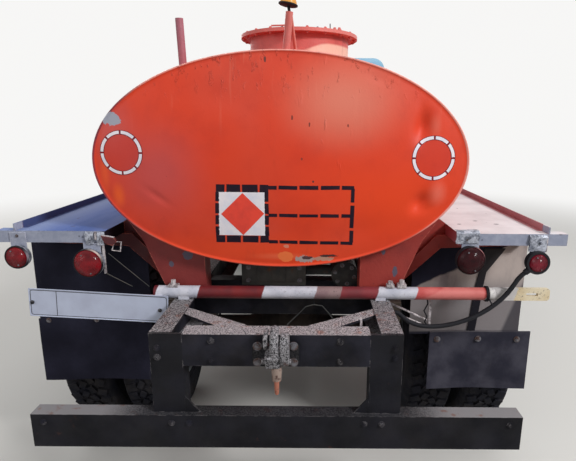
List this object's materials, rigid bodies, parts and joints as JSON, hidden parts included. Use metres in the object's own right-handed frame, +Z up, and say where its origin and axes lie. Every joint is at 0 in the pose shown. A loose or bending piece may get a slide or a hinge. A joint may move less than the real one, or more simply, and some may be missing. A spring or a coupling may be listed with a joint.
{
  "type": "tanker truck",
  "caption": "Two-axle tank truck: elliptical tank with manhole and catwalks, hollow bonneted cab with doors and hood, steered front wheels and twin rear wheels.",
  "frame": {"origin": "on the ground under the middle of the whole length and width", "axes": "+Y forward to the cab, +X to the right-hand side, +Z up"},
  "size_m": [2.215, 5.34, 2.155],
  "materials": {
    "chassis_black": "worn black paint over steel with dust and rust",
    "tow_hook_steel": "rusty forged steel with remains of black paint",
    "bumper_black": "black paint worn to grey along the top edge",
    "bumper_white": "scratched off-white paint",
    "axle_black": "dusty dark castings",
    "spring_steel": "dark spring steel, dusty",
    "engine_grey": "oily grey casting",
    "radiator_black": "matt black",
    "exhaust_steel": "heat-browned steel",
    "tank_orange": "brushed orange-red enamel with chips, dents and dust",
    "machinery_grey": "dark grey, oily",
    "pipe_brown": "faded red-brown paint",
    "galvanised": "worn pale grey paint over galvanised steel",
    "flap_rubber": "aged black sheet with dust",
    "bar_stripes": "white tube with red bands, chipped",
    "plate_white": "white enamel with a thin dark border, blank",
    "lamp_red": "red lens in a dark housing",
    "lamp_amber": "amber dome on a dark base",
    "cable_black": "black cable sheath",
    "cab_blue": "faded light blue enamel",
    "window_glass": "clear glass, slightly dusty",
    "seat_vinyl": "dark worn vinyl",
    "dash_grey": "blue-grey painted steel",
    "headlamp_glass": "bright rim and ribbed glass",
    "grille_white": "off-white paint",
    "mirror_black": "black with a mirror face",
    "steering_black": "black moulded rim",
    "rim_paint": "light blue wheel paint with dust",
    "tyre_rubber": "worn dusty rubber"
  },
  "bodies": {
    "chassis": {"frame_rails": "chassis_black", "frame_crossmembers": "chassis_black", "rear_crossmember": "chassis_black", "tow_hook": "tow_hook_steel", "underrun_bumper": "bumper_black", "front_bumper": "bumper_white", "axles": "axle_black", "leaf_springs": "spring_steel", "driveshaft": "axle_black", "engine_block": "engine_grey", "radiator": "radiator_black", "exhaust": "exhaust_steel", "fuel_tank": "chassis_black", "tank_shell": "tank_orange", "tank_cradles": "tank_orange", "manhole_neck": "tank_orange", "discharge_pipe": "machinery_grey", "tank_post": "tank_orange", "breather_pipe": "pipe_brown", "catwalks": "galvanised", "catwalk_brackets": "tank_orange", "mud_flaps": "flap_rubber", "striped_bar": "bar_stripes", "number_plate": "plate_white", "tail_lamps": "lamp_red", "lamp_brackets": "galvanised", "lamp_cable": "cable_black", "cab_floor": "cab_blue", "cab_back": "cab_blue", "cab_front": "cab_blue", "cab_roof": "cab_blue", "marker_lamp": "lamp_amber", "cab_glass": "window_glass", "seat": "seat_vinyl", "dashboard": "dash_grey", "front_wings": "cab_blue", "headlamps": "headlamp_glass", "grille_panel": "grille_white", "running_boards": "chassis_black", "mirrors": "mirror_black"},
    "steering_wheel": {"steering_wheel": "steering_black"},
    "hood": {"hood": "cab_blue"},
    "hatch": {"hatch_lid": "tank_orange"},
    "tie_rod": {"tie_rod": "axle_black"},
    "door_left": {"door_left": "cab_blue", "door_glass_left": "window_glass"},
    "knuckle_left": {"knuckle_left": "axle_black"},
    "front_wheel_left": {"front_rim_left": "rim_paint", "front_tyre_left": "tyre_rubber"},
    "rear_wheels_left": {"rear_rims_left": "rim_paint", "rear_tyres_left": "tyre_rubber"},
    "door_right": {"door_right": "cab_blue", "door_glass_right": "window_glass"},
    "knuckle_right": {"knuckle_right": "axle_black"},
    "front_wheel_right": {"front_rim_right": "rim_paint", "front_tyre_right": "tyre_rubber"},
    "rear_wheels_right": {"rear_rims_right": "rim_paint", "rear_tyres_right": "tyre_rubber"}
  },
  "joints": [
    {"name": "steer_left", "type": "hinge", "parent": "chassis", "child": "knuckle_left", "pos_m": [-0.665, 1.83, 0.47], "axis": [0, 0, 1], "range_deg": [-34, 34]},
    {"name": "steer_right", "type": "hinge", "parent": "chassis", "child": "knuckle_right", "pos_m": [0.665, 1.83, 0.47], "axis": [0, 0, 1], "range_deg": [-34, 34]},
    {"name": "tie_rod_swing", "type": "hinge", "parent": "knuckle_left", "child": "tie_rod", "pos_m": [-0.665, 1.66, 0.37], "axis": [0, 0, 1], "range_deg": [-34, 34]},
    {"name": "steering_wheel_turn", "type": "hinge", "parent": "chassis", "child": "steering_wheel", "pos_m": [-0.38, 1, 1.515], "axis": [0, -0.6, 0.8], "range_deg": [-680, 680]},
    {"name": "front_wheel_left_spin", "type": "hinge", "parent": "knuckle_left", "child": "front_wheel_left", "pos_m": [-0.815, 1.83, 0.47], "axis": [1, 0, 0], "continuous": true},
    {"name": "front_wheel_right_spin", "type": "hinge", "parent": "knuckle_right", "child": "front_wheel_right", "pos_m": [0.815, 1.83, 0.47], "axis": [1, 0, 0], "continuous": true},
    {"name": "rear_wheels_left_spin", "type": "hinge", "parent": "chassis", "child": "rear_wheels_left", "pos_m": [-0.845, -1.47, 0.47], "axis": [1, 0, 0], "continuous": true},
    {"name": "rear_wheels_right_spin", "type": "hinge", "parent": "chassis", "child": "rear_wheels_right", "pos_m": [0.845, -1.47, 0.47], "axis": [1, 0, 0], "continuous": true},
    {"name": "door_left_swing", "type": "hinge", "parent": "chassis", "child": "door_left", "pos_m": [-0.879, 1.253, 1.25], "axis": [0, 0, -1], "range_deg": [0, 65]},
    {"name": "door_right_swing", "type": "hinge", "parent": "chassis", "child": "door_right", "pos_m": [0.879, 1.253, 1.25], "axis": [0, 0, 1], "range_deg": [0, 65]},
    {"name": "hood_lift", "type": "hinge", "parent": "chassis", "child": "hood", "pos_m": [0, 1.42, 1.545], "axis": [1, 0, 0], "range_deg": [0, 55]},
    {"name": "hatch_swing", "type": "hinge", "parent": "chassis", "child": "hatch", "pos_m": [0.033, -0.79, 2.122], "axis": [-1, 0, 0], "range_deg": [0, 110]}
  ],
  "couplings": [
    {"joint": "steer_right", "follows": "steer_left", "ratio": 1},
    {"joint": "tie_rod_swing", "follows": "steer_left", "ratio": -1},
    {"joint": "steering_wheel_turn", "follows": "steer_left", "ratio": 20}
  ]
}
